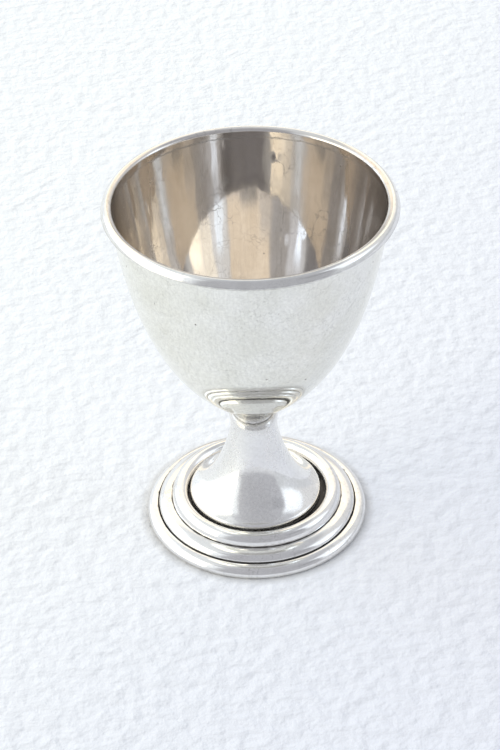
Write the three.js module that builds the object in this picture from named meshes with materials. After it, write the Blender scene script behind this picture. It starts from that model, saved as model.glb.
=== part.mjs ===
// A footed egg cup in old silver, built as a silversmith builds one: a raised bowl with a half-round
// wire round its lip, on a hollow trumpet stem that stands in a stepped foot made of three rings.
// Millimetres, +Z up, with the origin in the middle of the face that the foot rests on.

import * as THREE from 'three';

// Overall sizes
const overallHeight = 65;
const mouthRadius = 22.7;
const seatHeight = 24.4;
const seatRadius = 5.5;

// Bowl
const bowlWall = 0.7;
const lipLean = THREE.MathUtils.degToRad(9.5);
const lipBand = 2.4;
const lipEdgeRadius = 0.35;
const undersideRise = THREE.MathUtils.degToRad(36.8);
const undersidePullShare = 0.394;
const shoulderPullShare = 0.274;
const floorBlendShare = 0.14;

// Rim wire
const rimWireRadius = 1.2;
const solderFilm = 0.05;
const crownDropShare = 0.96;
const crownLean = THREE.MathUtils.degToRad(-21);
const wireTopLean = THREE.MathUtils.degToRad(-80);
const wireFacePullShare = 0.38;

// Stem
const stemWall = 0.85;
const waistRadius = 4.13;
const waistHeight = 18.9;
const stemFootRadius = 11.4;
const skirtHeight = 1.55;
const domeRise = THREE.MathUtils.degToRad(24);
const domePullShare = 0.36;
const waistPullShare = 0.12;
const flareLean = THREE.MathUtils.degToRad(33);
const flareWaistPullShare = 0.37;
const flareSeatPullShare = 0.26;

// Stepped foot
const ledgeHeight = 0.9;
const stepHeight = 2.3;
const stepEdge = 0.85;
const stepWidth = 2.35;
const stepWall = 0.8;
const stemLedge = 0.8;
const grooveWidth = 0.7;
const beadWidth = 3;
const beadHeight = 2;
const seamWidth = 0.35;
const footWireWidth = 1.7;
const footWireHeight = 1.9;
const footWireEdge = 0.5;
const footLedge = 0.35;
const footCrownFlat = 0.15;

// Places worked out from the sizes
const stepTop = ledgeHeight + stepHeight;
const beadInnerRadius = stemFootRadius + grooveWidth;
const beadOuterRadius = beadInnerRadius + beadWidth;
const stepOuterRadius = beadOuterRadius + stepWidth;
const seamOuterRadius = stepOuterRadius + seamWidth;
const footRadius = seamOuterRadius + footWireWidth;
const lipOuterRadius = mouthRadius + bowlWall / Math.cos(lipLean);

// Fineness of the turned surfaces
const turnSteps = 48;
const wallSteps = 12;
const smallArcSteps = 4;
const stemSteps = 7;
const ringArcSteps = 8;

const polishedSilver = new THREE.MeshStandardMaterial({
  color: 0xd9d7d0,
  roughness: 0.14,
  metalness: 1,
});
const handledSilver = new THREE.MeshStandardMaterial({
  color: 0xd2cfc6,
  roughness: 0.22,
  metalness: 1,
});

// A point of a section: its distance from the axis and its height.
function point(radius, height) {
  return new THREE.Vector2(radius, height);
}

// The point a distance away from another, along a lean measured from the vertical towards the outside.
function leaning(from, lean, distance) {
  return point(from.x + distance * Math.sin(lean), from.y + distance * Math.cos(lean));
}

// A curve between two points that leaves along one lean and arrives along another.
// The pulls are shares of the straight distance.
function bend(start, startLean, startPullShare, end, endLean, endPullShare) {
  const span = start.distanceTo(end);
  return new THREE.CubicBezierCurve(
    start,
    leaning(start, startLean, startPullShare * span),
    leaning(end, endLean, -endPullShare * span),
    end,
  );
}

// Points of an elliptical arc, both ends included.
function arc(centre, radiusAcross, radiusUp, fromAngle, toAngle, steps) {
  const clockwise = toAngle < fromAngle;
  return new THREE.EllipseCurve(
    centre.x, centre.y, radiusAcross, radiusUp, fromAngle, toAngle, clockwise,
  ).getPoints(steps);
}

// Points set off from a curve to its left by a wall thickness.
function offsetPoints(curve, thickness, fromShare, steps) {
  const points = [];
  for (let step = 0; step <= steps; step += 1) {
    const share = fromShare + (1 - fromShare) * step / steps;
    const along = curve.getTangent(share);
    const left = point(-along.y, along.x);
    points.push(curve.getPoint(share).addScaledVector(left, thickness));
  }
  return points;
}

// Turns a section about the upright axis. The section runs anticlockwise, with the axis on its left.
function turned(name, section, material) {
  const geometry = new THREE.LatheGeometry(section, turnSteps);
  geometry.rotateX(Math.PI / 2);
  const mesh = new THREE.Mesh(geometry, material);
  mesh.name = name;
  return mesh;
}

// A ring's section ends where it starts.
function closed(section) {
  return [...section, section[0].clone()];
}

// Bowl: a raised shell with a small flat underneath for the stem and a dressed lip.
function bowl() {
  const lipCorner = point(lipOuterRadius, overallHeight);
  const bandFoot = leaning(lipCorner, lipLean, -lipBand);
  const seatCorner = point(seatRadius, seatHeight);
  const riseLean = Math.PI / 2 - undersideRise;
  const wall = bend(seatCorner, riseLean, undersidePullShare, bandFoot, lipLean, shoulderPullShare);

  const floor = point(0, seatHeight + bowlWall);
  const inside = offsetPoints(wall, bowlWall, floorBlendShare, wallSteps);
  const toe = inside[0];
  const toeTangent = wall.getTangent(floorBlendShare);
  const floorReach = toe.x - (toe.y - floor.y) * toeTangent.x / toeTangent.y;
  const dish = new THREE.QuadraticBezierCurve(floor, point(floorReach, floor.y), toe);

  const lipCentre = point(mouthRadius + lipEdgeRadius, overallHeight - lipEdgeRadius);
  const lipEdge = arc(lipCentre, lipEdgeRadius, lipEdgeRadius, Math.PI / 2, Math.PI, smallArcSteps);

  return turned('bowl', [
    point(0, seatHeight),
    ...wall.getPoints(wallSteps),
    lipCorner,
    ...lipEdge,
    ...inside.reverse(),
    ...dish.getPoints(smallArcSteps).reverse().slice(1),
  ], handledSilver);
}

// Rim wire: half-round wire whose flat lies against the leaning band under the lip.
// Its crown is worn to a slope, highest at the lip.
function rimWire() {
  const top = point(lipOuterRadius + solderFilm, overallHeight);
  const foot = leaning(top, lipLean, -2 * rimWireRadius);
  const reach = rimWireRadius * (1 - Math.sin(lipLean));
  const crown = point(top.x + reach, top.y - crownDropShare * rimWireRadius);
  const face = bend(crown, crownLean, wireFacePullShare, top, wireTopLean, wireFacePullShare);
  return turned('rim_wire', closed([foot, ...face.getPoints(ringArcSteps)]), polishedSilver);
}

// One face of the stem, from its foot to the bowl, set in from the outside by a thickness.
function stemFace(inset) {
  const seatInset = inset / Math.cos(flareLean);
  const domeDrop = inset / Math.cos(domeRise) - inset * Math.tan(domeRise);
  const foot = point(stemFootRadius - inset, stepTop);
  const edge = point(stemFootRadius - inset, stepTop + skirtHeight - domeDrop);
  const waist = point(waistRadius - inset, waistHeight);
  const top = point(seatRadius - seatInset, seatHeight);
  const dome = bend(edge, domeRise - Math.PI / 2, domePullShare, waist, 0, waistPullShare);
  const flare = bend(waist, 0, flareWaistPullShare, top, flareLean, flareSeatPullShare);
  return [
    foot,
    ...dome.getPoints(stemSteps),
    ...flare.getPoints(smallArcSteps).slice(1),
  ];
}

// Stem: a hollow trumpet, open below, that spreads at the top to carry the bowl.
function stem() {
  return turned('stem', closed([...stemFace(0), ...stemFace(stemWall).reverse()]), handledSilver);
}

// Foot bead: half-round wire on the flat of the step, a dark groove away from the stem.
function footBead() {
  const centre = point(beadInnerRadius + beadWidth / 2, stepTop);
  const section = arc(centre, beadWidth / 2, beadHeight, 0, Math.PI, ringArcSteps);
  return turned('foot_bead', closed(section), polishedSilver);
}

// Foot step: a spun ring with a flat top for the stem and the bead, and a rounded fall to the seam.
function footStep() {
  const shoulder = point(beadOuterRadius, ledgeHeight + stepEdge);
  const fallUp = stepTop - shoulder.y;
  const boreRadius = stemFootRadius - stemWall - stemLedge;
  const outside = arc(shoulder, stepWidth, fallUp, 0, Math.PI / 2, ringArcSteps);
  const inside = arc(
    shoulder, stepWidth - stepWall, fallUp - stepWall, Math.PI / 2, 0, smallArcSteps,
  );
  return turned('foot_step', closed([
    point(stepOuterRadius, ledgeHeight),
    ...outside,
    point(boreRadius, stepTop),
    point(boreRadius, stepTop - stepWall),
    ...inside,
    point(stepOuterRadius - stepWall, ledgeHeight),
  ]), polishedSilver);
}

// Foot rim: the heavy wire that the cup stands on, rebated inside to carry the step.
function footRim() {
  const boreRadius = stepOuterRadius - stepWall - footLedge;
  const crown = point(seamOuterRadius + footCrownFlat, footWireEdge);
  const crownUp = footWireHeight - footWireEdge;
  const fall = arc(crown, footRadius - crown.x, crownUp, 0, Math.PI / 2, ringArcSteps);
  return turned('foot_rim', closed([
    point(boreRadius, 0),
    point(footRadius, 0),
    ...fall,
    point(seamOuterRadius, footWireHeight),
    point(seamOuterRadius, ledgeHeight),
    point(boreRadius, ledgeHeight),
  ]), polishedSilver);
}

const eggCup = new THREE.Group();
eggCup.add(bowl(), rimWire(), stem(), footBead(), footStep(), footRim());

export default eggCup;
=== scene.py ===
"""Looks of a footed egg cup in old silver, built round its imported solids.

The solids give the sizes and the places. This script turns finer surfaces over them, works them as a
silversmith's hammer and polish would, dresses each one in its silver and sets it on a pale table.
"""

from __future__ import annotations

import logging
import math
from dataclasses import dataclass, field
from enum import Enum
from typing import Any

import bmesh
import bpy
from mathutils import Matrix, Vector

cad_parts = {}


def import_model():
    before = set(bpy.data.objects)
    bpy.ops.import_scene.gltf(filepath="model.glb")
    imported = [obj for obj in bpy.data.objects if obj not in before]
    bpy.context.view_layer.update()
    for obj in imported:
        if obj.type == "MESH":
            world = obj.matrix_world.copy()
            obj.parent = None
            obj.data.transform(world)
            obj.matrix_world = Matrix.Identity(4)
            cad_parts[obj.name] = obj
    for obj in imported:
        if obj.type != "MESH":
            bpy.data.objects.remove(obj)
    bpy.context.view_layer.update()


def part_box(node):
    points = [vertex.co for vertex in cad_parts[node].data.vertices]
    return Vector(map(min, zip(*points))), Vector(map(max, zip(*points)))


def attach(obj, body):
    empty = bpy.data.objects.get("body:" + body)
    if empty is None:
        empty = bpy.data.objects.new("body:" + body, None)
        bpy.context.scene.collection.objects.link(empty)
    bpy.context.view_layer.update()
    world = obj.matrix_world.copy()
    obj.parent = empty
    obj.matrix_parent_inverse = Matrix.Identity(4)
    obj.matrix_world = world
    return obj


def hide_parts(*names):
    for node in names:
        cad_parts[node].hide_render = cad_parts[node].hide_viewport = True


LOG = logging.getLogger("egg_cup")
MM = 0.001
SQUARE_CM = 0.0001

# Light passes from wall to wall of a polished bowl many times before it leaves.
LIGHT_BOUNCES = 14
MIRROR_BOUNCES = 12

# How far an eased corner holds the lean of each end, as a share of its length, and its stretches.
EVEN_PULL = 0.4
EASED_STEPS = 6

# The middle of a noise's values, and the numbers of a Mix node's sockets for two values or two colours.
NOISE_MIDDLE = 0.5
VALUE_A, VALUE_B = 2, 3
COLOUR_A, COLOUR_B = 6, 7

Point = tuple[float, float]
Section = list[Point]

# How far the lip wire and the foot's rings were soldered from the axis, in millimetres.
LIP_WIRE_OFF_CENTRE: Point = (0.1, 0.08)
FOOT_OFF_CENTRE: Point = (0.2, -0.12)


def linear(colour: str, alpha: float = 1.0) -> tuple[float, float, float, float]:
    """Turns an sRGB hex colour to linear light.

    Args:
        colour: the colour as "#rrggbb".
        alpha: the fourth value of the result.

    Returns:
        Red, green, blue and alpha for a node socket.
    """
    def channel(value: float) -> float:
        """One channel from sRGB to linear."""
        return value / 12.92 if value <= 0.04045 else ((value + 0.055) / 1.055) ** 2.4

    red, green, blue = (channel(int(colour[start:start + 2], 16) / 255) for start in (1, 3, 5))
    return red, green, blue, alpha


def add_node(
    tree: bpy.types.NodeTree, kind: str, inputs: dict[Any, Any] | None = None, **settings: Any
) -> bpy.types.Node:
    """Adds a node to a tree with its settings, values and links.

    Args:
        tree: the tree that gets the node.
        kind: the node's type name.
        inputs: socket name or number, with its value, the output that feeds it, or the node whose
            first output in use does.
        settings: attributes of the node, set before its sockets.

    Returns:
        The new node.
    """
    node = tree.nodes.new(kind)
    for name, value in settings.items():
        setattr(node, name, value)
    for key, value in (inputs or {}).items():
        if isinstance(value, bpy.types.Node):
            value = next(output for output in value.outputs if output.enabled)
        if isinstance(value, bpy.types.NodeSocket):
            tree.links.new(value, node.inputs[key])
        else:
            node.inputs[key].default_value = value
    return node


def bare_tree(owner: bpy.types.Material | bpy.types.World) -> bpy.types.NodeTree:
    """Gives a material or a world an empty node tree.

    Args:
        owner: the material or the world.

    Returns:
        Its tree, without a node.
    """
    owner.use_nodes = True
    owner.node_tree.nodes.clear()
    return owner.node_tree


def place_in_mm(tree: bpy.types.NodeTree) -> bpy.types.Node:
    """The place on a piece in millimetres of its own space."""
    place = add_node(tree, "ShaderNodeTexCoord").outputs["Object"]
    return add_node(tree, "ShaderNodeVectorMath", {0: place, "Scale": 1 / MM}, operation="SCALE")


def put_in_scene(name: str, data: bpy.types.ID) -> bpy.types.Object:
    """Makes an object of a mesh, a curve or a camera and links it to the scene.

    Args:
        name: the object's name.
        data: the mesh, the curve or the camera.

    Returns:
        The object.
    """
    made = bpy.data.objects.new(name, data)
    bpy.context.scene.collection.objects.link(made)
    return made


def leaning(start: Point, lean: float, distance: float) -> Point:
    """The point a distance from another, along a lean from the vertical towards the outside."""
    return start[0] + distance * math.sin(lean), start[1] + distance * math.cos(lean)


def bend(
    start: Point, start_lean: float, start_pull: float,
    end: Point, end_lean: float, end_pull: float, steps: int,
) -> Section:
    """A curve that leaves one point along a lean and arrives at another along its own.

    Args:
        start: first point, as radius and height.
        start_lean: lean at the start, in radians from the vertical towards the outside.
        start_pull: how far the start's lean is held, as a share of the straight distance.
        end: last point.
        end_lean: lean at the end.
        end_pull: how far the end's lean is held, as a share of the straight distance.
        steps: number of stretches.

    Returns:
        The curve's points, both ends included.
    """
    span = math.dist(start, end)
    handles = (
        start,
        leaning(start, start_lean, start_pull * span),
        leaning(end, end_lean, -end_pull * span),
        end,
    )
    points = []
    for step in range(steps + 1):
        t = step / steps
        shares = ((1 - t) ** 3, 3 * (1 - t) ** 2 * t, 3 * (1 - t) * t * t, t ** 3)
        radius = sum(share * handle[0] for share, handle in zip(shares, handles))
        height = sum(share * handle[1] for share, handle in zip(shares, handles))
        points.append((radius, height))
    return points


def arc(
    centre: Point, across: float, up: float, start: float, end: float, steps: int
) -> Section:
    """Points of an elliptical arc.

    Args:
        centre: middle of the ellipse, as radius and height.
        across: half its width.
        up: half its height.
        start: first angle in degrees, counted from the outside upwards.
        end: last angle in degrees.
        steps: number of stretches.

    Returns:
        The arc's points, both ends included.
    """
    angles = (math.radians(start + (end - start) * step / steps) for step in range(steps + 1))
    return [(centre[0] + across * math.cos(a), centre[1] + up * math.sin(a)) for a in angles]


def set_off(section: Section, thickness: float) -> Section:
    """A line set off to the left of another by a wall's thickness.

    Args:
        section: the line's points.
        thickness: the distance between the two lines.

    Returns:
        One point for each point of the line.
    """
    points = []
    last = len(section) - 1
    for index, (radius, height) in enumerate(section):
        before = section[max(index - 1, 0)]
        after = section[min(index + 1, last)]
        run = math.dist(before, after)
        left = (before[1] - after[1]) / run, (after[0] - before[0]) / run
        points.append((radius + thickness * left[0], height + thickness * left[1]))
    return points


class Outline(Enum):
    """How a turned section ends."""

    SHELL = "starts and ends on the axis"
    RING = "closes on itself"


@dataclass(frozen=True)
class HandWork:
    """What hammer, wheel and use leave on a turned surface, in millimetres.

    The draw is how many times longer the marks are up the wall than round it.
    """

    depth: float
    size: float
    draw: float = 1.0
    knock_depth: float = 0.0
    knock_width: float = 1.0
    knocks_per_cm2: float = 0.0
    seed: int = 1


@dataclass
class Lathe:
    """Turns sections into meshes with one Geometry Nodes tree.

    The spindle is the radius of the circle that carries a section, and points nearer than the weld
    become one, both in millimetres. An edge sharper than the crease, in degrees, stays sharp.
    """

    spindle: float = 1.0
    weld: float = 0.0005
    crease: float = 50.0
    wave_layers: float = 2.0
    wave_roughness: float = 0.4
    side_blend: float = 0.3
    tree: bpy.types.NodeTree = field(init=False)

    def __post_init__(self) -> None:
        """Builds the tree once for all the pieces."""
        self.tree = self._grow_tree()

    def _grow_tree(self) -> bpy.types.NodeTree:
        """Builds the tree that turns a section, hammers it and gives it its silver.

        Returns:
            The tree, with its sizes as named inputs.
        """
        tree = bpy.data.node_groups.new("turned_silver", "GeometryNodeTree")
        sides = ("Outside", "Inside")
        sockets = {
            "Section": "Geometry", "Turn Steps": "Int", "Spindle": "Float", "Weld": "Float",
            "Off Centre": "Vector",
            **{f"{side} {size}": "Float" for side in sides for size in ("Depth", "Size", "Draw")},
            "Knock Depth": "Float", "Knock Width": "Float", "Knock Density": "Float", "Seed": "Int",
            **{side: "Material" for side in sides},
        }
        for name, kind in sockets.items():
            tree.interface.new_socket(name, in_out="INPUT", socket_type=f"NodeSocket{kind}")
        tree.interface.new_socket("Mesh", in_out="OUTPUT", socket_type="NodeSocketGeometry")
        given = add_node(tree, "NodeGroupInput").outputs

        circle = add_node(tree, "GeometryNodeCurvePrimitiveCircle", {
            "Resolution": given["Turn Steps"], "Radius": given["Spindle"],
        }, mode="RADIUS")
        swept = add_node(tree, "GeometryNodeCurveToMesh", {
            "Curve": circle, "Profile Curve": given["Section"],
        })
        welded = add_node(tree, "GeometryNodeMergeByDistance", {
            "Geometry": swept, "Distance": given["Weld"],
        })
        facing_out = add_node(tree, "GeometryNodeFlipFaces", {"Mesh": welded})
        placed = add_node(tree, "GeometryNodeSetPosition", {
            "Geometry": self._hammer(tree, given, facing_out), "Offset": given["Off Centre"],
        })
        smooth = add_node(tree, "GeometryNodeSetShadeSmooth", {"Geometry": placed})
        real = add_node(tree, "GeometryNodeRealizeInstances", {"Geometry": smooth})
        outside = add_node(tree, "GeometryNodeSetMaterial", {
            "Geometry": real, "Material": given["Outside"],
        })
        inner = add_node(tree, "FunctionNodeCompare", {
            "A": self._outwards(tree), "B": 0.0,
        }, data_type="FLOAT", operation="LESS_THAN")
        inside = add_node(tree, "GeometryNodeSetMaterial", {
            "Geometry": outside, "Selection": inner, "Material": given["Inside"],
        })
        add_node(tree, "NodeGroupOutput", {"Mesh": inside})
        return tree

    @staticmethod
    def _outwards(tree: bpy.types.NodeTree) -> bpy.types.Node:
        """How much a place looks away from the axis.

        Args:
            tree: the tree that gets the nodes.

        Returns:
            The node of the value, from -1 inside to 1 outside.
        """
        place = add_node(tree, "GeometryNodeInputPosition")
        level = add_node(tree, "ShaderNodeVectorMath", {
            0: place, 1: (1.0, 1.0, 0.0),
        }, operation="MULTIPLY")
        away = add_node(tree, "ShaderNodeVectorMath", {0: level}, operation="NORMALIZE")
        normal = add_node(tree, "GeometryNodeInputNormal")
        return add_node(tree, "ShaderNodeVectorMath", {0: away, 1: normal}, operation="DOT_PRODUCT")

    def _waves(self, tree: bpy.types.NodeTree, given: Any, side: str) -> bpy.types.Node:
        """The low waves that the hammer and the polishing wheel leave on one side.

        Args:
            tree: the tree that gets the nodes.
            given: the outputs of the tree's group input.
            side: the start of the names of that side's inputs.

        Returns:
            The node of the height.
        """
        place = add_node(tree, "GeometryNodeInputPosition")
        parts = add_node(tree, "ShaderNodeSeparateXYZ", {0: place}).outputs
        drawn = add_node(tree, "ShaderNodeMath", {
            0: parts["Z"], 1: given[f"{side} Draw"],
        }, operation="DIVIDE")
        squeezed = add_node(tree, "ShaderNodeCombineXYZ", {
            "X": parts["X"], "Y": parts["Y"], "Z": drawn,
        })
        per_size = add_node(tree, "ShaderNodeMath", {0: 1.0, 1: given[f"{side} Size"]}, operation="DIVIDE")
        noise = add_node(tree, "ShaderNodeTexNoise", {
            "Vector": squeezed, "Scale": per_size, "Detail": self.wave_layers,
            "Roughness": self.wave_roughness, "W": given["Seed"],
        }, noise_dimensions="4D")
        swing = add_node(tree, "ShaderNodeMath", {0: noise, 1: NOISE_MIDDLE}, operation="SUBTRACT")
        return add_node(tree, "ShaderNodeMath", {
            0: swing, 1: given[f"{side} Depth"],
        }, operation="MULTIPLY")

    def _hammer(
        self, tree: bpy.types.NodeTree, given: Any, surface: bpy.types.Node
    ) -> bpy.types.Node:
        """Adds the hammer's waves and the knocks of use to a surface.

        Args:
            tree: the tree that gets the nodes.
            given: the outputs of the tree's group input.
            surface: the node of the turned surface.

        Returns:
            The node of the worked surface.
        """
        side = add_node(tree, "ShaderNodeMapRange", {
            "Value": self._outwards(tree), "From Min": -self.side_blend, "From Max": self.side_blend,
        }, interpolation_type="SMOOTHSTEP")
        waves = add_node(tree, "ShaderNodeMix", {
            0: side,
            VALUE_A: self._waves(tree, given, "Inside"),
            VALUE_B: self._waves(tree, given, "Outside"),
        }, data_type="FLOAT")

        spots = add_node(tree, "GeometryNodeDistributePointsOnFaces", {
            "Mesh": surface, "Density": given["Knock Density"], "Seed": given["Seed"],
        }, distribute_method="RANDOM")
        near = add_node(tree, "GeometryNodeProximity", {0: spots}, target_element="POINTS")
        reach = add_node(tree, "ShaderNodeMapRange", {
            "Value": near.outputs["Distance"], "From Max": given["Knock Width"],
            "To Min": given["Knock Depth"], "To Max": 0.0,
        }, interpolation_type="SMOOTHERSTEP")
        some = add_node(tree, "ShaderNodeMath", {
            0: given["Knock Density"], 1: 0.0,
        }, operation="GREATER_THAN")
        knock = add_node(tree, "ShaderNodeMath", {0: reach, 1: some}, operation="MULTIPLY")
        inward = add_node(tree, "ShaderNodeMath", {0: waves, 1: knock}, operation="SUBTRACT")
        normal = add_node(tree, "GeometryNodeInputNormal")
        push = add_node(tree, "ShaderNodeVectorMath", {0: normal, "Scale": inward}, operation="SCALE")
        return add_node(tree, "GeometryNodeSetPosition", {"Geometry": surface, "Offset": push})

    def turn(
        self, name: str, section: Section, outline: Outline, steps: int, work: HandWork,
        outside: bpy.types.Material, inside: bpy.types.Material | None = None,
        inner_work: HandWork | None = None, off_centre: Point = (0.0, 0.0),
    ) -> bpy.types.Object:
        """Turns one section about the upright axis.

        Args:
            name: the piece's name.
            section: its points in millimetres, anticlockwise.
            outline: whether the section ends on the axis or closes on itself.
            steps: number of stretches round the axis.
            work: what hand work and use leave on the surface.
            outside: the material of the faces that look away from the axis.
            inside: the material of the faces that look at the axis, where it differs.
            inner_work: the waves of the side that looks at the axis, where they differ.
            off_centre: how far the piece was soldered from the axis, in millimetres.

        Returns:
            The piece, as a plain mesh at the origin.
        """
        curve = bpy.data.curves.new(f"{name}_section", "CURVE")
        curve.dimensions = "3D"
        spline = curve.splines.new("POLY")
        spline.points.add(len(section) - 1)
        spline.use_cyclic_u = outline is Outline.RING
        for point, (radius, height) in zip(spline.points, section):
            point.co = ((radius - self.spindle) * MM, -height * MM, 0.0, 1.0)
        carrier = put_in_scene(f"{name}_turning", curve)
        modifier = carrier.modifiers.new("turned_silver", "NODES")
        modifier.node_group = self.tree

        values = {
            "Turn Steps": steps,
            "Spindle": self.spindle * MM,
            "Weld": self.weld * MM,
            "Off Centre": (off_centre[0] * MM, off_centre[1] * MM, 0.0),
            "Knock Depth": work.knock_depth * MM,
            "Knock Width": work.knock_width * MM,
            "Knock Density": work.knocks_per_cm2 / SQUARE_CM,
            "Seed": work.seed,
            "Outside": outside,
            "Inside": inside or outside,
        }
        for side, marks in (("Outside", work), ("Inside", inner_work or work)):
            values[f"{side} Depth"] = marks.depth * MM
            values[f"{side} Size"] = marks.size * MM
            values[f"{side} Draw"] = marks.draw
        for item in self.tree.interface.items_tree:
            if item.in_out == "INPUT" and item.name in values:
                modifier[item.identifier] = values[item.name]

        bpy.context.view_layer.update()
        evaluated = carrier.evaluated_get(bpy.context.evaluated_depsgraph_get())
        mesh = bpy.data.meshes.new_from_object(evaluated)
        bpy.data.objects.remove(carrier)
        bpy.data.curves.remove(curve)
        return self._finish(name, mesh)

    def _finish(self, name: str, mesh: bpy.types.Mesh) -> bpy.types.Object:
        """Points a closed mesh's faces outwards, marks its creases and gives it an object.

        Args:
            name: the piece's name.
            mesh: the turned mesh.

        Returns:
            The piece.
        """
        work = bmesh.new()
        work.from_mesh(mesh)
        bmesh.ops.recalc_face_normals(work, faces=work.faces)
        work.to_mesh(mesh)
        work.free()
        mesh.set_sharp_from_angle(angle=math.radians(self.crease))
        mesh.name = name
        return put_in_scene(name, mesh)


@dataclass
class Bowl:
    """The raised bowl: an even wall, a small flat underneath and a dressed lip. Millimetres."""

    low: Vector
    high: Vector
    wall: float = 0.7
    seat_radius: float = 5.5
    lip_lean: float = math.radians(9.5)
    lip_band: float = 2.4
    lip_edge: float = 0.7
    lip_roll: float = 1.0
    throat_lean: float = math.radians(4.5)
    corner: float = 0.12
    underside_lean: float = math.radians(53.2)
    underside_pull: float = 0.394
    shoulder_pull: float = 0.274
    floor_blend: float = 0.14
    wall_steps: int = 72
    throat_steps: int = 10
    lip_steps: int = 12
    dish_steps: int = 18
    turn_steps: int = 540
    work: HandWork = HandWork(
        depth=0.03, size=6.0, knock_depth=0.05, knock_width=1.1, knocks_per_cm2=0.35, seed=4,
    )
    inner_work: HandWork = HandWork(depth=0.045, size=3.2, draw=3.0)

    @classmethod
    def from_frame(cls) -> Bowl:
        """Takes the bowl's height, seat and lip from its solid."""
        low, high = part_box("bowl")
        return cls(low / MM, high / MM)

    def section(self) -> Section:
        """The shell's section: an even wall between a small flat and an eased lip.

        Returns:
            Its points, from the middle of the underside round the lip to the middle of the floor.
        """
        lip_corner = (self.high.x, self.high.z)
        band_foot = leaning(lip_corner, self.lip_lean, -self.lip_band)
        seat_corner = (self.seat_radius, self.low.z)
        flank = bend(
            seat_corner, self.underside_lean, self.underside_pull,
            band_foot, self.lip_lean, self.shoulder_pull, self.wall_steps,
        )
        first = round(self.floor_blend * self.wall_steps)
        inner = set_off(flank, self.wall)[first:]
        toe, next_toe = inner[0], inner[1]
        floor = (0.0, self.low.z + self.wall)
        reach = toe[0] - (toe[1] - floor[1]) * (next_toe[0] - toe[0]) / (next_toe[1] - toe[1])
        dish = [
            (
                2 * (1 - t) * t * reach + t * t * toe[0],
                (1 - t * t) * floor[1] + t * t * toe[1],
            )
            for t in (step / self.dish_steps for step in range(self.dish_steps))
        ]
        throat_chord = (self.lip_lean + self.throat_lean) / 2
        neck = leaning(inner[-1], throat_chord, self.lip_band - self.lip_edge)
        throat = bend(
            inner[-1], self.lip_lean, EVEN_PULL, neck, self.throat_lean, EVEN_PULL, self.throat_steps,
        )
        lip_outside = leaning(lip_corner, self.lip_lean, -self.corner)
        roll = (neck[0] + self.lip_roll, neck[1])
        outermost = math.degrees(math.acos((lip_corner[0] - self.corner - roll[0]) / self.lip_roll))
        lip = arc(roll, self.lip_roll, self.high.z - neck[1], outermost, 180, self.lip_steps)
        return [
            (0.0, self.low.z), *flank, lip_outside, *lip,
            *reversed(throat[1:-1]), *reversed(inner), *reversed(dish),
        ]

    def build(
        self, lathe: Lathe, outside: bpy.types.Material, inside: bpy.types.Material
    ) -> bpy.types.Object:
        """Turns the bowl and gives its outside and inside their silver."""
        return lathe.turn(
            "raised_bowl", self.section(), Outline.SHELL, self.turn_steps, self.work,
            outside, inside, self.inner_work,
        )


@dataclass
class RimWire:
    """The half-round wire soldered round the lip, its crown worn to a slope. Millimetres."""

    low: Vector
    high: Vector
    radius: float = 1.2
    lean: float = math.radians(9.5)
    sunk: float = 0.25
    sunk_drop: float = 0.1
    crown_drop: float = 1.15
    crown_lean: float = math.radians(-21)
    face_pull: float = 0.45
    shoulder_lean: float = math.radians(-77)
    shoulder_pull: float = 0.35
    corner: float = 0.1
    corner_lean: float = math.radians(58)
    off_centre: Point = LIP_WIRE_OFF_CENTRE
    face_steps: int = 28
    turn_steps: int = 384
    work: HandWork = HandWork(depth=0.02, size=9.0, seed=8)

    @classmethod
    def from_frame(cls) -> RimWire:
        """Takes the wire's reach and height from its solid."""
        low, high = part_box("rim_wire")
        return cls(low / MM, high / MM)

    def section(self) -> Section:
        """The wire's worn section, its flat a little inside the bowl's wall as solder fills it.

        Returns:
            Its points, from the foot of the flat round the crown to the lip.
        """
        joint = (self.high.x - self.radius * (1 - math.sin(self.lean)), self.high.z)
        foot = leaning(joint, self.lean, -2 * self.radius)
        crown = (self.high.x, self.high.z - self.crown_drop)
        tucked = (crown[0] - self.corner, crown[1] - self.corner)
        edge = bend(
            tucked, self.corner_lean, EVEN_PULL, crown, self.crown_lean, EVEN_PULL, EASED_STEPS,
        )
        face = bend(
            crown, self.crown_lean, self.face_pull,
            joint, self.shoulder_lean, self.shoulder_pull, self.face_steps,
        )
        return [
            (foot[0] - self.sunk, foot[1]), foot, *edge[:-1], *face,
            (joint[0] - self.sunk, joint[1] - self.sunk_drop),
        ]

    def build(self, lathe: Lathe, silver: bpy.types.Material) -> bpy.types.Object:
        """Turns the wire in its silver."""
        return lathe.turn(
            "lip_wire", self.section(), Outline.RING, self.turn_steps, self.work, silver,
            off_centre=self.off_centre,
        )


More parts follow.
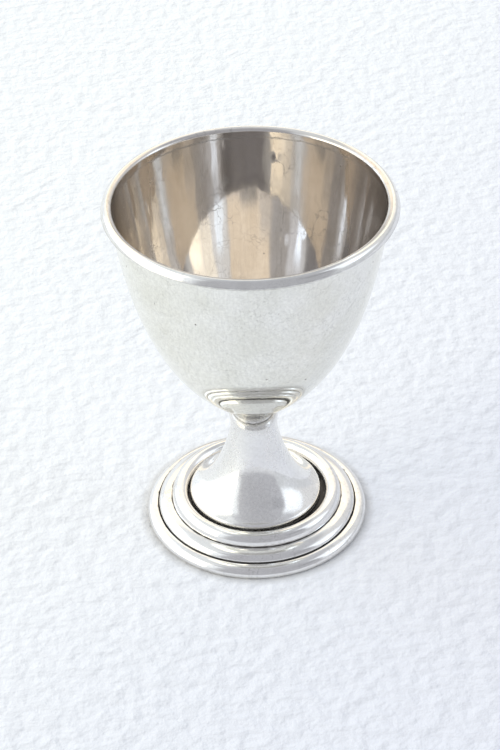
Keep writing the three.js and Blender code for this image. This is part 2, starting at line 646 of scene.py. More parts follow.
@dataclass
class Stem:
    """The hollow trumpet stem with its turned-down skirt. Millimetres."""

    low: Vector
    high: Vector
    wall: float = 0.85
    waist_radius: float = 4.13
    waist_height: float = 18.9
    seat_radius: float = 5.5
    skirt: float = 1.55
    dome_lean: float = math.radians(-66)
    dome_pull: float = 0.36
    waist_pull: float = 0.12
    flare_lean: float = math.radians(33)
    flare_waist_pull: float = 0.37
    flare_seat_pull: float = 0.26
    edge: float = 0.44
    spread: float = 0.22
    off_centre: Point = (-0.03, 0.1)
    dome_steps: int = 70
    flare_steps: int = 30
    turn_steps: int = 288
    work: HandWork = HandWork(
        depth=0.03, size=4.0, knock_depth=0.03, knock_width=0.7, knocks_per_cm2=0.3, seed=3,
    )

    @classmethod
    def from_frame(cls) -> Stem:
        """Takes the stem's foot radius and its two ends from its solid."""
        low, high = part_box("stem")
        return cls(low / MM, high / MM)

    def face(self, inset: float) -> Section:
        """One face of the stem from its foot to the bowl.

        Args:
            inset: how far the face lies inside the outer one.

        Returns:
            The face's points, from the foot upwards.
        """
        rise = math.pi / 2 + self.dome_lean
        drop = inset / math.cos(rise) - inset * math.tan(rise)
        radius = self.high.x + self.spread - inset
        edge = (radius, self.low.z + self.skirt - drop)
        waist = (self.waist_radius - inset, self.waist_height)
        top = (self.seat_radius - inset / math.cos(self.flare_lean), self.high.z)
        dome = bend(edge, self.dome_lean, self.dome_pull, waist, 0, self.waist_pull, self.dome_steps)
        flare = bend(
            waist, 0, self.flare_waist_pull,
            top, self.flare_lean, self.flare_seat_pull, self.flare_steps,
        )
        return [(radius, self.low.z), *dome, *flare[1:]]

    def section(self) -> Section:
        """The stem's section, with the dome's edge eased as polishing leaves it.

        Returns:
            Its points, up the outside and down the bore.
        """
        foot, edge, *dome = self.face(0)
        first = next(index for index, point in enumerate(dome) if math.dist(point, edge) > self.edge)
        below = (edge[0], edge[1] - self.edge)
        eased = bend(below, 0, EVEN_PULL, dome[first], self.dome_lean, EVEN_PULL, EASED_STEPS)
        return [foot, *eased[:-1], *dome[first:], *reversed(self.face(self.wall))]

    def build(self, lathe: Lathe, silver: bpy.types.Material) -> bpy.types.Object:
        """Turns the stem in its silver."""
        return lathe.turn(
            "trumpet_stem", self.section(), Outline.RING, self.turn_steps, self.work, silver,
            off_centre=self.off_centre,
        )


@dataclass
class SteppedFoot:
    """The bead, the spun step and the heavy wire that the cup stands on. Millimetres."""

    bead_low: Vector
    bead_high: Vector
    step_low: Vector
    step_high: Vector
    wire_low: Vector
    wire_high: Vector
    bead_width: float = 3.0
    step_width: float = 2.35
    step_edge: float = 0.85
    step_wall: float = 0.8
    bore_radius: float = 9.75
    seam: float = 0.35
    seam_closing: float = 0.08
    wire_edge: float = 0.35
    wire_tuck: float = 0.25
    wire_spread: float = 0.12
    crown_flat: float = 0.15
    ledge: float = 0.35
    ease: float = 0.08
    off_centre: Point = FOOT_OFF_CENTRE
    wire_off_centre: Point = (0.2, -0.24)
    outer_steps: int = 28
    inner_steps: int = 14
    tuck_steps: int = 8
    turn_steps: int = 384
    work: HandWork = HandWork(
        depth=0.02, size=6.0, knock_depth=0.02, knock_width=0.6, knocks_per_cm2=0.2, seed=6,
    )

    @classmethod
    def from_frame(cls) -> SteppedFoot:
        """Takes the places of the three rings from their solids."""
        corners = [
            corner / MM
            for node in ("foot_bead", "foot_step", "foot_rim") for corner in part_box(node)
        ]
        return cls(*corners)

    def bead_section(self) -> Section:
        """The bead's half-round section on the step's flat.

        Returns:
            Its points, from the outer edge over the crown.
        """
        half = self.bead_width / 2
        centre = (self.bead_high.x - half, self.bead_low.z)
        return arc(centre, half, self.bead_high.z - self.bead_low.z, 0, 180, self.outer_steps)

    def step_section(self) -> Section:
        """The spun ring: flat on top, with a rounded fall to a turned-down edge.

        Returns:
            Its points, from the outer edge over the top to the bore and back under the wall.
        """
        outer = self.step_high.x + self.seam_closing
        shoulder = (self.step_high.x - self.step_width, self.step_low.z + self.step_edge)
        across, up = outer - shoulder[0], self.step_high.z - shoulder[1]
        wall = self.step_wall
        return [
            (outer, self.step_low.z),
            *arc(shoulder, across, up, 0, 90, self.outer_steps),
            (self.bore_radius, self.step_high.z),
            (self.bore_radius, self.step_high.z - wall),
            *arc(shoulder, across - wall, up - wall, 90, 0, self.inner_steps),
            (outer - wall, self.step_low.z),
        ]

    def wire_section(self) -> Section:
        """The foot wire: a rounded top and edge, and a ledge inside for the step.

        Returns:
            Its points, from the bore outwards under the wire and over its top to the ledge.
        """
        outer = self.wire_high.x + self.wire_spread
        wall = self.step_high.x + self.seam - self.seam_closing
        top = self.wire_high.z
        bore = self.step_high.x - self.step_wall - self.ledge
        crown = (wall + self.crown_flat, self.wire_edge)
        tuck = (outer - self.wire_tuck, self.wire_edge)
        return [
            (bore, self.wire_low.z),
            (tuck[0], self.wire_low.z),
            *arc(tuck, self.wire_tuck, self.wire_edge, -90, 0, self.tuck_steps),
            *arc(crown, outer - crown[0], top - self.wire_edge, 0, 90, self.outer_steps)[1:],
            (wall, top - self.ease),
            (wall, self.step_low.z),
            (bore, self.step_low.z),
        ]

    def build(self, lathe: Lathe, silver: bpy.types.Material) -> list[bpy.types.Object]:
        """Turns the three rings.

        Args:
            lathe: what turns them.
            silver: their finish.

        Returns:
            The bead, the step and the wire, in the order of their nodes.
        """
        rings = (
            ("stem_bead", self.bead_section(), self.off_centre),
            ("spun_step", self.step_section(), self.off_centre),
            ("foot_wire", self.wire_section(), self.wire_off_centre),
        )
        return [
            lathe.turn(
                name, section, Outline.RING, self.turn_steps, self.work, silver, off_centre=off_centre,
            )
            for name, section, off_centre in rings
        ]


@dataclass(frozen=True)
class Clouds:
    """A cloudy noise: its finer layers, and the noise values that become the pattern's two ends."""

    layers: float
    low: float
    high: float


HAZE = Clouds(4.0, 0.38, 0.66)
MOTTLE = Clouds(2.0, 0.3, 0.7)
RUBBING = Clouds(3.0, 0.35, 0.65)
GRAIN = Clouds(2.0, 0.0, 1.0)
SCRATCHED_PATCHES = Clouds(1.0, 0.45, 0.7)
RAGGED_EDGE = Clouds(3.0, 0.3, 0.7)


@dataclass(frozen=True)
class Groove:
    """A ring-shaped dark band. In some it is black sulphide that the polishing cloth misses, in some
    painted shade as well, as each band's comment says. Millimetres.
    """

    inner: float
    outer: float
    low: float
    high: float
    soft: float
    share: float


# Black sulphide in the groove between the stem's skirt and the bead, with painted shade for the gap as
# well.
FOOT_GROOVE = Groove(11.2, 12.2, 2.9, 3.75, 0.15, 0.95)
# Where the bead meets the step: painted shade in the joint, with some sulphide.
BEAD_JOINT = Groove(14.85, 15.25, 3.0, 3.4, 0.08, 0.9)
# The seam between the step and the foot wire: painted shade in the gap, with some sulphide.
STEP_SEAM = Groove(17.4, 17.85, 0.5, 1.8, 0.08, 0.95)
# A dark band on the stem and the bowl where they meet.
NECK_JOINT = Groove(4.8, 6.1, 24.1, 24.5, 0.12, 0.6)
# A dark band along the lower edge of the lip wire: partly dirt in the joint, partly painted shade under
# the wire.
RIM_JOINT = Groove(24.2, 24.8, 63.4, 63.95, 0.25, 0.2)
# A darker line round the inside, just below the lip.
LIP_LINE = Groove(22.0, 22.8, 63.3, 63.55, 0.12, 0.3)


@dataclass(frozen=True)
class Silver:
    """A silver surface: what it mirrors, how it was polished, and where age has darkened it or shade is
    painted on it.

    Sizes are in millimetres, shares run from 0 to 1, and the colours are sRGB. The veil is the part of
    the surface that mirrors softly, and where it has a side share, it changes to that between the side
    veil's two distances from the middle. Scratches run along the edges of cells, and a pit lies in a cell.
    """

    name: str
    clean: str
    hazy: str
    haze_size: float
    haze_share: float
    mottle_size: float
    mottle_share: float
    smoothest: float
    roughest: float
    grain_size: float
    grain_height: float
    hairline_cell: float
    hairline_width: float
    hairline_share: float
    pit_cell: float
    pit_share: float
    veil_share: float
    veil_roughness: float = 0.4
    side_veil_share: float | None = None
    side_veil: tuple[float, float] = (0.0, 1.0)
    grooves: tuple[Groove, ...] = ()
    centre: Point = (0.0, 0.0)
    # The colour, roughness and metalness of the dark marks: sulphide in scratches, pits and grooves, and
    # painted shade in some grooves.
    oxide_and_shade: str = "#302b26"
    oxide_and_shade_roughness: float = 0.5
    oxide_and_shade_metallic: float = 0.35
    wander_layers: float = 2.0
    bends_per_cell: float = 2.0
    patch_cells: float = 3.0
    unpitted_share: float = 0.6
    widest_pit: float = 0.12
    pit_edge: float = 0.05
    ragged_size: float = 1.2

    def material(self) -> bpy.types.Material:
        """Builds the finish as a node material.

        Returns:
            The material, with its patterns in millimetres of the piece's own space.
        """
        material = bpy.data.materials.new(self.name)
        tree = bare_tree(material)
        in_mm = place_in_mm(tree)

        haze = self._clouds(tree, in_mm, self.haze_size, HAZE, 0.0, self.haze_share)
        mottle = self._clouds(
            tree, in_mm, self.mottle_size, MOTTLE, 1 - self.mottle_share, 1 + self.mottle_share
        )
        colour = add_node(tree, "ShaderNodeMix", {
            0: haze, COLOUR_A: linear(self.clean), COLOUR_B: linear(self.hazy),
        }, data_type="RGBA")
        mottled = add_node(tree, "ShaderNodeVectorMath", {0: colour, "Scale": mottle}, operation="SCALE")
        # Scratches, pits and grooves darken the silver: wear and sulphide, and in some grooves painted
        # shade as well.
        dark = self._largest(tree, [
            self._hairlines(tree, in_mm), self._pits(tree, in_mm),
            *(self._groove(tree, in_mm, groove) for groove in self.grooves),
        ])
        aged_and_shaded = add_node(tree, "ShaderNodeMix", {
            0: dark, COLOUR_A: mottled, COLOUR_B: linear(self.oxide_and_shade),
        }, data_type="RGBA")

        rubbed = self._clouds(
            tree, in_mm, self.haze_size / 2, RUBBING, self.smoothest, self.roughest
        )
        roughness = add_node(tree, "ShaderNodeMix", {
            0: dark, VALUE_A: rubbed, VALUE_B: self.oxide_and_shade_roughness,
        }, data_type="FLOAT")
        metallic = add_node(tree, "ShaderNodeMapRange", {
            "Value": dark, "To Min": 1.0, "To Max": self.oxide_and_shade_metallic,
        })
        grain = self._clouds(tree, in_mm, self.grain_size, GRAIN, 0.0, 1.0)
        bump = add_node(tree, "ShaderNodeBump", {
            "Strength": 1.0, "Distance": self.grain_height * MM, "Height": grain,
        })
        looks = {"Base Color": aged_and_shaded, "Metallic": metallic, "Normal": bump}
        mirror = add_node(tree, "ShaderNodeBsdfPrincipled", {**looks, "Roughness": roughness})
        veil = add_node(tree, "ShaderNodeBsdfPrincipled", {**looks, "Roughness": self.veil_roughness})
        both = add_node(tree, "ShaderNodeMixShader", {0: self._veiled(tree, in_mm), 1: mirror, 2: veil})
        add_node(tree, "ShaderNodeOutputMaterial", {"Surface": both})
        return material

    def _veiled(self, tree: bpy.types.NodeTree, in_mm: bpy.types.Node) -> bpy.types.Node | float:
        """The veil's share, larger towards the left and right where the finish says so.

        Args:
            tree: the tree that gets the nodes.
            in_mm: the node of the place on the piece in millimetres.

        Returns:
            The share itself where it is even, or else its node.
        """
        if self.side_veil_share is None:
            return self.veil_share
        parts = add_node(tree, "ShaderNodeSeparateXYZ", {0: in_mm}).outputs
        sideways = add_node(tree, "ShaderNodeMath", {0: parts["X"]}, operation="ABSOLUTE")
        return add_node(tree, "ShaderNodeMapRange", {
            "Value": sideways, "From Min": self.side_veil[0], "From Max": self.side_veil[1],
            "To Min": self.veil_share, "To Max": self.side_veil_share,
        }, interpolation_type="SMOOTHSTEP")

    @staticmethod
    def _clouds(
        tree: bpy.types.NodeTree, in_mm: bpy.types.Node, size: float, clouds: Clouds,
        least: float, most: float,
    ) -> bpy.types.Node:
        """A cloudy pattern between two values.

        Args:
            tree: the tree that gets the nodes.
            in_mm: the node of the place on the piece in millimetres.
            size: how wide the clouds are.
            clouds: the noise they are made of.
            least: the result at the noise's low end.
            most: the result at its high end.

        Returns:
            The node of the pattern.
        """
        noise = add_node(tree, "ShaderNodeTexNoise", {
            "Vector": in_mm, "Scale": 1 / size, "Detail": clouds.layers,
        })
        return add_node(tree, "ShaderNodeMapRange", {
            "Value": noise, "From Min": clouds.low, "From Max": clouds.high,
            "To Min": least, "To Max": most,
        })

    def _hairlines(self, tree: bpy.types.NodeTree, in_mm: bpy.types.Node) -> bpy.types.Node:
        """Fine wandering scratches, stronger in some places than in others.

        Args:
            tree: the tree that gets the nodes.
            in_mm: the node of the place on the piece in millimetres.

        Returns:
            The node of how dark the scratches are.
        """
        cell = self.hairline_cell
        wander = add_node(tree, "ShaderNodeTexNoise", {
            "Vector": in_mm, "Scale": self.bends_per_cell / cell, "Detail": self.wander_layers,
        })
        bent = add_node(tree, "ShaderNodeVectorMath", {
            0: wander.outputs["Color"], 1: (cell, cell, cell), 2: in_mm,
        }, operation="MULTIPLY_ADD")
        cells = add_node(tree, "ShaderNodeTexVoronoi", {
            "Vector": bent, "Scale": 1 / cell,
        }, feature="DISTANCE_TO_EDGE")
        patch = self._clouds(
            tree, in_mm, self.patch_cells * cell, SCRATCHED_PATCHES, 0.0, self.hairline_share
        )
        return add_node(tree, "ShaderNodeMapRange", {
            "Value": cells, "From Max": self.hairline_width / cell, "To Min": patch, "To Max": 0.0,
        })

    def _pits(self, tree: bpy.types.NodeTree, in_mm: bpy.types.Node) -> bpy.types.Node:
        """Small dark specks where the silver is pitted.

        Args:
            tree: the tree that gets the nodes.
            in_mm: the node of the place on the piece in millimetres.

        Returns:
            The node of how dark the specks are.
        """
        spots = add_node(tree, "ShaderNodeTexVoronoi", {
            "Vector": in_mm, "Scale": 1 / self.pit_cell,
        }, feature="F1").outputs
        chosen = add_node(tree, "ShaderNodeSeparateColor", {0: spots["Color"]})
        width = add_node(tree, "ShaderNodeMapRange", {
            "Value": chosen, "From Min": self.unpitted_share, "From Max": 1.0,
            "To Min": 0.0, "To Max": self.widest_pit,
        })
        depth = add_node(tree, "ShaderNodeMath", {0: width, 1: spots["Distance"]}, operation="SUBTRACT")
        return add_node(tree, "ShaderNodeMapRange", {
            "Value": depth, "From Max": self.pit_edge, "To Max": self.pit_share,
        })

    def _groove(
        self, tree: bpy.types.NodeTree, in_mm: bpy.types.Node, groove: Groove
    ) -> bpy.types.Node:
        """How far a place lies in a groove, with a ragged edge.

        Args:
            tree: the tree that gets the nodes.
            in_mm: the node of the place on the piece in millimetres.
            groove: the groove.

        Returns:
            The node of how dark the groove is.
        """
        centred = add_node(tree, "ShaderNodeVectorMath", {
            0: in_mm, 1: (*self.centre, 0.0),
        }, operation="SUBTRACT")
        parts = add_node(tree, "ShaderNodeSeparateXYZ", {0: centred}).outputs
        level = add_node(tree, "ShaderNodeCombineXYZ", {"X": parts["X"], "Y": parts["Y"]})
        radius = add_node(tree, "ShaderNodeVectorMath", {0: level}, operation="LENGTH")
        ragged = self._clouds(
            tree, in_mm, self.ragged_size, RAGGED_EDGE, -groove.soft, groove.soft
        )
        share: Any = groove.share
        for value, low, high in (
            (radius, groove.inner, groove.outer), (parts["Z"], groove.low, groove.high),
        ):
            at = add_node(tree, "ShaderNodeMath", {0: value, 1: ragged}, operation="ADD")
            for edge, before, after in ((low, 0.0, 1.0), (high, 1.0, 0.0)):
                side = add_node(tree, "ShaderNodeMapRange", {
                    "Value": at, "From Min": edge - groove.soft, "From Max": edge + groove.soft,
                    "To Min": before, "To Max": after,
                }, interpolation_type="SMOOTHSTEP")
                share = add_node(tree, "ShaderNodeMath", {0: share, 1: side}, operation="MULTIPLY")
        return share

    @staticmethod
    def _largest(tree: bpy.types.NodeTree, values: list[bpy.types.Node]) -> bpy.types.Node:
        """The largest of several values.

        Args:
            tree: the tree that gets the nodes.
            values: the nodes of the values.

        Returns:
            The node of the largest.
        """
        largest = values[0]
        for value in values[1:]:
            largest = add_node(tree, "ShaderNodeMath", {0: largest, 1: value}, operation="MAXIMUM")
        return largest


# Hand-raised silver, planished and rubbed for years: it mirrors the table softly, as if through breath.
RAISED_SILVER = Silver(
    name="planished_sterling",
    clean="#f4f3ec", hazy="#eae9df", haze_size=6.0, haze_share=0.8,
    mottle_size=0.45, mottle_share=0.06,
    smoothest=0.03, roughest=0.06, grain_size=0.5, grain_height=0.0025,
    hairline_cell=2.2, hairline_width=0.08, hairline_share=0.2,
    pit_cell=2.2, pit_share=0.7, veil_share=0.16,
    grooves=(NECK_JOINT,),
)
# The inside has the thin warm tarnish that eggs leave: it mirrors clearly but darker and yellower. Far to
# the left and right it mirrors more softly, so that what passes from wall to wall doesn't turn to specks.
EGG_STAINED_SILVER = Silver(
    name="egg_stained_sterling",
    clean="#dad6d2", hazy="#d2cdc7", haze_size=5.0, haze_share=0.8,
    mottle_size=0.8, mottle_share=0.03,
    smoothest=0.03, roughest=0.06, grain_size=0.9, grain_height=0.0002,
    hairline_cell=2.6, hairline_width=0.1, hairline_share=0.35,
    pit_cell=2.6, pit_share=0.8, veil_share=0.02, veil_roughness=0.28,
    side_veil_share=0.27, side_veil=(14.5, 17.5), grooves=(LIP_LINE,),
)
# Drawn wire, burnished by fingers and lips: bright and smooth, with few scratches, and a dark band at its
# lower edge that is partly dirt and partly painted shade.
DRAWN_SILVER = Silver(
    name="burnished_wire_sterling",
    clean="#efeeeb", hazy="#e4e3df", haze_size=4.0, haze_share=0.6,
    mottle_size=0.6, mottle_share=0.02,
    smoothest=0.04, roughest=0.09, grain_size=0.8, grain_height=0.0015,
    hairline_cell=2.0, hairline_width=0.07, hairline_share=0.15,
    pit_cell=3.5, pit_share=0.5, veil_share=0.12,
    grooves=(RIM_JOINT,), centre=LIP_WIRE_OFF_CENTRE,
)
# The stem, turned and buffed: a clear mirror under a faint veil, with small clouds, black sulphide and
# painted shade in the groove at its skirt, and a dark band where it meets the bowl.
BUFFED_SILVER = Silver(
    name="buffed_sterling",
    clean="#f3f2f0", hazy="#eae9e6", haze_size=4.5, haze_share=0.6,
    mottle_size=0.45, mottle_share=0.05,
    smoothest=0.05, roughest=0.09, grain_size=0.6, grain_height=0.003,
    hairline_cell=2.0, hairline_width=0.07, hairline_share=0.2,
    pit_cell=3.0, pit_share=0.5, veil_share=0.25,
    grooves=(FOOT_GROOVE, NECK_JOINT),
)
# The foot's rings, buffed on their crowns, with black sulphide left in the groove and the seams, and
# painted shade in them as well.
FOOT_SILVER = Silver(
    name="foot_sterling_with_oxide_and_painted_shade_in_seams",
    clean="#f0efed", hazy="#e6e4e1", haze_size=4.0, haze_share=0.6,
    mottle_size=0.5, mottle_share=0.025,
    smoothest=0.05, roughest=0.1, grain_size=0.7, grain_height=0.002,
    hairline_cell=2.0, hairline_width=0.07, hairline_share=0.2,
    pit_cell=3.0, pit_share=0.5, veil_share=0.15,
    grooves=(FOOT_GROOVE, BEAD_JOINT, STEP_SEAM), centre=FOOT_OFF_CENTRE,
)


@dataclass(frozen=True)
class Pane:
    """A soft-edged light or dark part of the room, as the cup sees it, in degrees.

    Bearings run from the camera's side, 0, to the right, 90. Each edge fades over its softness, and one
    with none is open. The lean is how many degrees the pane moves to the left for each degree of height.
    """

    colour: str
    strength: float
    left: float
    right: float
    low: float
    high: float
    left_soft: float
    right_soft: float
    low_soft: float
    high_soft: float
    lean: float = 0.0


@dataclass
class Room:
    """Plain soft daylight: pale walls, a softbox on each hand, and the dim side behind the camera."""

    wall: str = "#f3f9ff"
    wall_strength: float = 1.12
    panes: tuple[Pane, ...] = (
        # The wall opposite the camera, sunlit higher up, and dimmer down by the table.
        Pane("#fff4e2", 1.58, 138, 222, 22, 51, 12, 8, 10, 6),
        Pane("#fbf6ee", 1.20, 138, 163, 8, 34, 8, 10, 6, 8),
        Pane("#f4f2ee", 0.78, 166, 194, 4, 26, 10, 10, 6, 6),
        Pane("#f6f7fa", 0.85, 136, 170, -10, 19, 8, 10, 1, 8),
        # The ceiling, brighter to the left.
        Pane("#f3f6ff", 0.61, -180, 180, 54, 100, 0, 0, 10, 1),
        Pane("#f6fbff", 0.95, -192, -62, 48, 73, 14, 12, 8, 16),
        # The dim side of the room behind the camera, over the far end of the table.
        Pane("#f2f5fb", 0.90, -52, 75, -10, 8, 8, 10, 1, 6),
        Pane("#f2f4fd", 0.54, -42, 66, 3, 100, 14, 10, 5, 1),
        Pane("#f2f4fd", 0.44, 40, 66, 28, 45, 8, 10, 6, 8),
        # The wall between the right-hand softbox and the back.
        Pane("#f6f7fa", 0.84, 96, 140, -10, 56, 8, 10, 1, 10),
        Pane("#f0f4fb", 0.76, 60, 140, -10, 13, 8, 10, 1, 6),
        # Softboxes: the narrow one to the right with its glow, and the wide one to the left with its own.
        Pane("#f0f6ff", 1.35, 69, 106, 16, 50, 5, 8, 6, 8),
        Pane("#ddecff", 3.30, 79, 92, 20, 37, 5, 5, 6, 10),
        Pane("#f3f9ff", 1.65, -138, -94, -10, 52, 8, 6, 1, 10),
        Pane("#e4f1ff", 2.40, -132, -115, 14, 37, 6, 6, 6, 6),
        Pane("#fffdf4", 2.00, -100, -50, -10, 54, 8, 5, 1, 10, 0.15),
        Pane("#fffaea", 2.95, -78, -50, 6, 38, 10, 5, 6, 8, 0.15),
    )

    def build(self) -> bpy.types.World:
        """Builds the world that lights the cup and shows in its silver.

        Returns:
            The world, which is the scene's.
        """
        world = bpy.data.worlds.new("soft_daylight_room")
        tree = bare_tree(world)
        place = add_node(tree, "ShaderNodeTexCoord").outputs["Generated"]
        parts = add_node(tree, "ShaderNodeSeparateXYZ", {0: place}).outputs
        rise = add_node(tree, "ShaderNodeMath", {0: parts["Z"]}, operation="ARCSINE")
        height = add_node(tree, "ShaderNodeMath", {0: rise}, operation="DEGREES")
        seen: Any = self._light(self.wall, self.wall_strength)
        for pane in self.panes:
            seen = add_node(tree, "ShaderNodeMix", {
                0: self._cover(tree, place, height, pane),
                COLOUR_A: seen, COLOUR_B: self._light(pane.colour, pane.strength),
            }, data_type="RGBA")
        background = add_node(tree, "ShaderNodeBackground", {"Color": seen, "Strength": 1.0})
        add_node(tree, "ShaderNodeOutputWorld", {"Surface": background})
        bpy.context.scene.world = world
        return world

    @staticmethod
    def _light(colour: str, strength: float) -> tuple[float, float, float, float]:
        """A colour at a strength, in linear light."""
        red, green, blue, alpha = linear(colour)
        return red * strength, green * strength, blue * strength, alpha

    @staticmethod
    def _cover(
        tree: bpy.types.NodeTree, place: bpy.types.NodeSocket, height: bpy.types.Node, pane: Pane
    ) -> bpy.types.Node:
        """How much a pane covers in each direction.

        Args:
            tree: the world's tree.
            place: the direction.
            height: the node of its height above the horizon in degrees.
            pane: the pane.

        Returns:
            The node of the cover, from 0 to 1.
        """
        middle = (pane.left + pane.right) / 2
        half = (pane.right - pane.left) / 2
        turned = add_node(tree, "ShaderNodeMapping", {
            "Vector": place, "Rotation": (0.0, 0.0, math.radians(90 - middle)),
        })
        parts = add_node(tree, "ShaderNodeSeparateXYZ", {0: turned}).outputs
        angle = add_node(tree, "ShaderNodeMath", {0: parts["Y"], 1: parts["X"]}, operation="ARCTAN2")
        bearing = add_node(tree, "ShaderNodeMath", {0: angle}, operation="DEGREES")
        leaned = add_node(tree, "ShaderNodeMath", {
            0: height, 1: pane.lean, 2: bearing,
        }, operation="MULTIPLY_ADD")
        cover = None
        for value, edge, soft, before, after in (
            (leaned, -half, pane.left_soft, 0.0, 1.0),
            (leaned, half, pane.right_soft, 1.0, 0.0),
            (height, pane.low, pane.low_soft, 0.0, 1.0),
            (height, pane.high, pane.high_soft, 1.0, 0.0),
        ):
            if soft == 0:
                continue
            side = add_node(tree, "ShaderNodeMapRange", {
                "Value": value, "From Min": edge - soft / 2, "From Max": edge + soft / 2,
                "To Min": before, "To Max": after,
            }, interpolation_type="SMOOTHSTEP")
            cover = side if cover is None else add_node(
                tree, "ShaderNodeMath", {0: cover, 1: side}, operation="MULTIPLY"
            )
        return cover


@dataclass(frozen=True)
class Viewpoint:
    """Where the photograph was taken from, solved from the ellipses of the rim and the foot."""

    place: tuple[float, float, float] = (0.0, -0.305377, 0.257044)
    yaw: float = math.radians(-0.0980689)
    pitch: float = math.radians(36.711)
    roll: float = math.radians(-1.22589)
    focal_pixels: float = 2210.57
    frame_pixels: tuple[int, int] = (500, 750)
    film_height: float = 36.0
    nearest: float = 0.01

    def build(self) -> bpy.types.Object:
        """Sets up the camera and makes it the scene's.

        Returns:
            The camera.
        """
        ahead = Vector((
            math.sin(self.yaw) * math.cos(self.pitch),
            math.cos(self.yaw) * math.cos(self.pitch),
            -math.sin(self.pitch),
        ))
        right = Vector((math.cos(self.yaw), -math.sin(self.yaw), 0.0))
        up = right.cross(ahead)
        rolled_right = math.cos(self.roll) * right + math.sin(self.roll) * up
        rolled_up = math.cos(self.roll) * up - math.sin(self.roll) * right
        data = bpy.data.cameras.new("photograph_camera")
        data.sensor_fit = "VERTICAL"
        data.sensor_height = self.film_height
        data.sensor_width = self.film_height * self.frame_pixels[0] / self.frame_pixels[1]
        data.lens = self.focal_pixels / self.frame_pixels[1] * self.film_height
        data.clip_start = self.nearest
        camera = put_in_scene("photograph_camera", data)
        turn = Matrix((rolled_right, rolled_up, -ahead)).transposed().to_4x4()
        turn.translation = Vector(self.place)
        camera.matrix_world = turn
        bpy.context.scene.camera = camera
        return camera


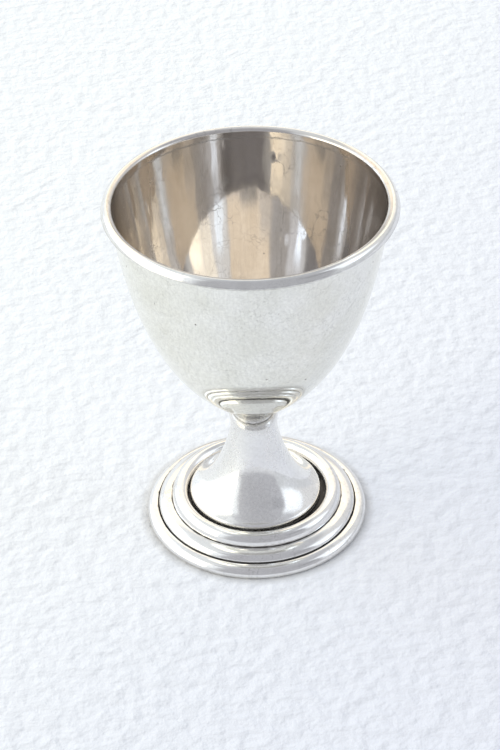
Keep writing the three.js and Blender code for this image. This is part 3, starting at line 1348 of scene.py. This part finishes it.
@dataclass(frozen=True)
class Table:
    """The plain pale table top: metres across, and millimetres for its tooth, its painted fade to shade
    and its painted contact shadow.
    """

    half_width: float = 6.0
    paper: str = "#d4d4d4"
    # The glow that is seen fades from the first colour to the second towards the lower right: painted
    # shade, as if the light came from the left.
    lit_end_glow: str = "#9ba2a5"
    shaded_end_glow: str = "#7d8496"
    fade_along: tuple[float, float, float] = (0.88, -0.47, 0.0)
    fade: tuple[float, float] = (-110.0, 90.0)
    lump_size: float = 3.0
    lump_height: float = 0.7
    lump_layers: float = 1.0
    tooth_size: float = 0.75
    tooth_height: float = 0.2
    tooth_layers: float = 2.0
    # Painted light and shade on the paper's bumps, as if lit from the upper left.
    light_from: tuple[float, float, float] = (-0.7, 0.7, 0.0)
    relief_slope: float = 0.3
    relief_shading_share: float = 0.22
    # A painted contact shadow: the glow dims within this distance of the cup, by the occlusion raised to
    # this power.
    contact: float = 1.8
    contact_power: float = 4.0

    def build(self) -> bpy.types.Object:
        """Returns:
            The table top.
        """
        signs = ((-1, -1), (1, -1), (1, 1), (-1, 1))
        corners = [(x * self.half_width, y * self.half_width, 0.0) for x, y in signs]
        mesh = bpy.data.meshes.new("table_top")
        mesh.from_pydata(corners, [], [(0, 1, 2, 3)])
        mesh.materials.append(self._paper())
        top = put_in_scene("table_top", mesh)
        return top

    def _paper(self) -> bpy.types.Material:
        """White paper with a slight tooth, whose own glow keeps the cup's shadow small. The glow carries
        painted shade: it dims towards the lower right and close round the cup, and it is lighter and
        darker on the bumps as if lit from the upper left.

        Returns:
            The material: part of its light comes from the room, part is its own for what is seen.
        """
        material = bpy.data.materials.new("white_drawing_paper")
        tree = bare_tree(material)
        in_mm = place_in_mm(tree)
        bump: Any = None
        for size, height, layers in (
            (self.lump_size, self.lump_height, self.lump_layers),
            (self.tooth_size, self.tooth_height, self.tooth_layers),
        ):
            noise = add_node(tree, "ShaderNodeTexNoise", {
                "Vector": in_mm, "Scale": 1 / size, "Detail": layers,
            })
            under = {} if bump is None else {"Normal": bump}
            bump = add_node(tree, "ShaderNodeBump", {
                "Strength": 1.0, "Distance": height * MM, "Height": noise, **under,
            })
        lit = add_node(tree, "ShaderNodeBsdfDiffuse", {"Color": linear(self.paper), "Normal": bump})
        # Painted light and shade: the glow is stronger where a bump faces the light and weaker where it
        # faces away.
        facing_light = add_node(tree, "ShaderNodeVectorMath", {
            0: bump, 1: self.light_from,
        }, operation="DOT_PRODUCT")
        relief_shading = add_node(tree, "ShaderNodeMapRange", {
            "Value": facing_light, "From Min": -self.relief_slope, "From Max": self.relief_slope,
            "To Min": 1 - self.relief_shading_share, "To Max": 1 + self.relief_shading_share,
        })
        # Painted shade: the glow dims towards the lower right.
        across = add_node(tree, "ShaderNodeVectorMath", {
            0: in_mm, 1: self.fade_along,
        }, operation="DOT_PRODUCT")
        near = add_node(tree, "ShaderNodeMapRange", {
            "Value": across, "From Min": self.fade[0], "From Max": self.fade[1],
        }, interpolation_type="SMOOTHSTEP")
        glow = add_node(tree, "ShaderNodeMix", {
            0: near, COLOUR_A: linear(self.lit_end_glow), COLOUR_B: linear(self.shaded_end_glow),
        }, data_type="RGBA")
        path = add_node(tree, "ShaderNodeLightPath").outputs
        mirrored = add_node(tree, "ShaderNodeMath", {
            0: path["Is Camera Ray"], 1: path["Is Glossy Ray"],
        }, operation="MAXIMUM")
        seen = add_node(tree, "ShaderNodeMath", {
            0: mirrored, 1: path["Is Transmission Ray"],
        }, operation="MAXIMUM")
        # Painted contact shadow: the glow dims where the cup is near.
        air = add_node(tree, "ShaderNodeAmbientOcclusion", {"Distance": self.contact * MM}).outputs["AO"]
        clear = add_node(tree, "ShaderNodeMath", {0: air, 1: self.contact_power}, operation="POWER")
        painted_shading = add_node(tree, "ShaderNodeMath", {0: clear, 1: relief_shading}, operation="MULTIPLY")
        strength = add_node(tree, "ShaderNodeMath", {0: seen, 1: painted_shading}, operation="MULTIPLY")
        own = add_node(tree, "ShaderNodeEmission", {"Color": glow, "Strength": strength})
        both = add_node(tree, "ShaderNodeAddShader", {0: lit, 1: own})
        add_node(tree, "ShaderNodeOutputMaterial", {"Surface": both})
        return material


def main() -> None:
    """Loads the frame, builds the cup over it and sets it on the table."""
    logging.basicConfig(level=logging.INFO, format="%(name)s: %(message)s")
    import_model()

    scene = bpy.context.scene
    scene.view_settings.view_transform = "Standard"
    scene.cycles.max_bounces = LIGHT_BOUNCES
    scene.cycles.glossy_bounces = MIRROR_BOUNCES
    Viewpoint().build()
    Room().build()
    Table().build()

    lathe = Lathe()
    raised = RAISED_SILVER.material()
    stained = EGG_STAINED_SILVER.material()
    drawn = DRAWN_SILVER.material()
    buffed = BUFFED_SILVER.material()
    foot = FOOT_SILVER.material()
    bead, step, wire = SteppedFoot.from_frame().build(lathe, foot)
    dressed = (
        (Bowl.from_frame().build(lathe, raised, stained), "bowl", "raised_silver"),
        (RimWire.from_frame().build(lathe, drawn), "rim_wire", "wire_silver"),
        (Stem.from_frame().build(lathe, buffed), "stem", "stem_silver"),
        (bead, "foot_bead", "foot_silver"),
        (step, "foot_step", "foot_silver"),
        (wire, "foot_rim", "foot_silver"),
    )
    for piece, node, slot in dressed:
        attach(piece, "root")
        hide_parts(node)
        LOG.info("%s stands for %s, %d faces", piece.name, node, len(piece.data.polygons))


if __name__ == "__main__":
    main()
